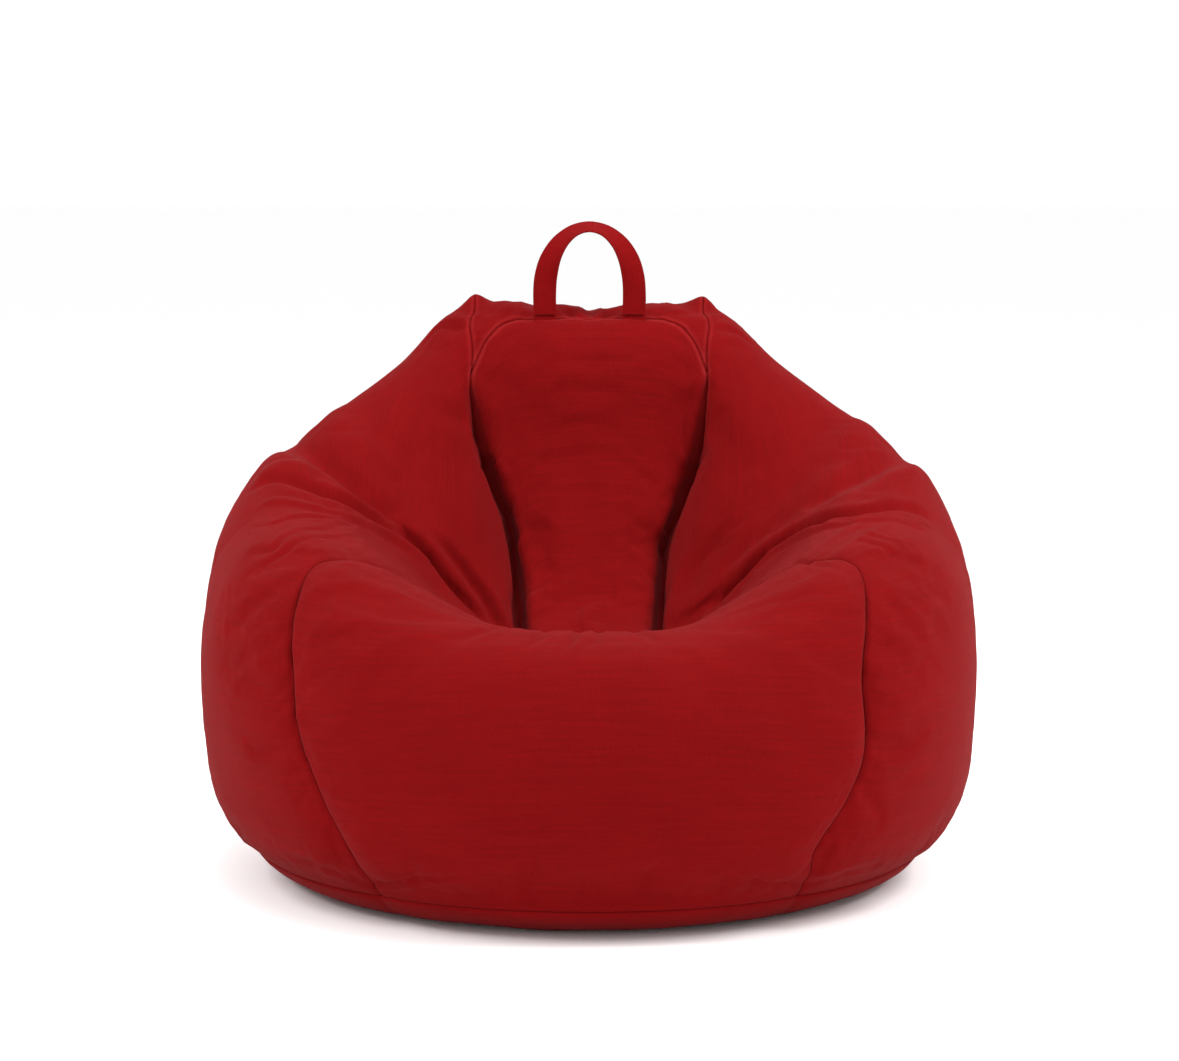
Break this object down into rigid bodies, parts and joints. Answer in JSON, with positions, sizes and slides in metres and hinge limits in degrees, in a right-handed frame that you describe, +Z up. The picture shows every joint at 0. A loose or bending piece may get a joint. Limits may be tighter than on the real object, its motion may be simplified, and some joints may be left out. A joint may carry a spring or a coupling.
{
  "type": "bean bag chair",
  "caption": "Upright bean bag chair: stuffed fabric cover with high backrest, hollowed seat, carrying loop on top and zip in the rear base seam.",
  "frame": {"origin": "on the floor, under the middle of the round base", "axes": "+Z up; the chair faces -Y, so the backrest is at +Y; +X is the right-hand side seen from in front"},
  "size_m": [0.849, 0.8273, 0.7046],
  "materials": {
    "cover_fabric": "matte linen weave",
    "webbing": "matte woven",
    "thread": "matte thread",
    "zip_tape": "matte woven tape",
    "zip_coil": "semi-gloss nylon",
    "zip_metal": "nickel plated",
    "liner_fabric": "matte calico",
    "liner_tape": "matte woven tape",
    "liner_coil": "semi-gloss nylon",
    "liner_zip_metal": "nickel plated",
    "beads": "matte expanded beads"
  },
  "bodies": {
    "cover": {"front_panel": "cover_fabric", "left_side_panel": "cover_fabric", "right_side_panel": "cover_fabric", "backrest_panel": "cover_fabric", "top_panel": "cover_fabric", "rear_panel": "cover_fabric", "base_panel": "cover_fabric", "handle_bartacks": "thread", "zip_tape_upper": "zip_tape", "zip_tape_lower": "zip_tape", "zip_coil_upper": "zip_coil", "zip_coil_lower": "zip_coil", "zip_end_stops": "zip_metal", "liner_front_panel": "liner_fabric", "liner_left_panel": "liner_fabric", "liner_right_panel": "liner_fabric", "liner_back_panel": "liner_fabric", "liner_base_panel": "liner_fabric", "liner_zip_tape_front": "liner_tape", "liner_zip_tape_rear": "liner_tape", "liner_zip_coil_front": "liner_coil", "liner_zip_coil_rear": "liner_coil", "liner_zip_end_stops": "liner_zip_metal", "bead_fill": "beads"},
    "handle": {"handle_strap": "webbing"},
    "zip_slider": {"zip_slider": "zip_metal"},
    "zip_pull": {"zip_pull": "zip_metal"},
    "liner_zip_slider": {"liner_zip_slider": "liner_zip_metal"}
  },
  "joints": [
    {"name": "handle_fold", "type": "hinge", "parent": "cover", "child": "handle", "pos_m": [0, 0.25559, 0.5946], "axis": [1, 0, 0], "range_deg": [-65, 120], "stiffness_Nm_per_rad": 0.02},
    {"name": "zip_slide", "type": "hinge", "parent": "cover", "child": "zip_slider", "pos_m": [0, 0, 0.05], "axis": [0, 0, 1], "range_deg": [0, 70]},
    {"name": "zip_pull_turn", "type": "hinge", "parent": "zip_slider", "child": "zip_pull", "pos_m": [0.21452, 0.30636, 0.05], "axis": [0, 0, -1], "range_deg": [0, 165]},
    {"name": "liner_zip_slide", "type": "slide", "parent": "cover", "child": "liner_zip_slider", "axis": [-1, 0, 0], "range_m": [0, 0.28]}
  ]
}
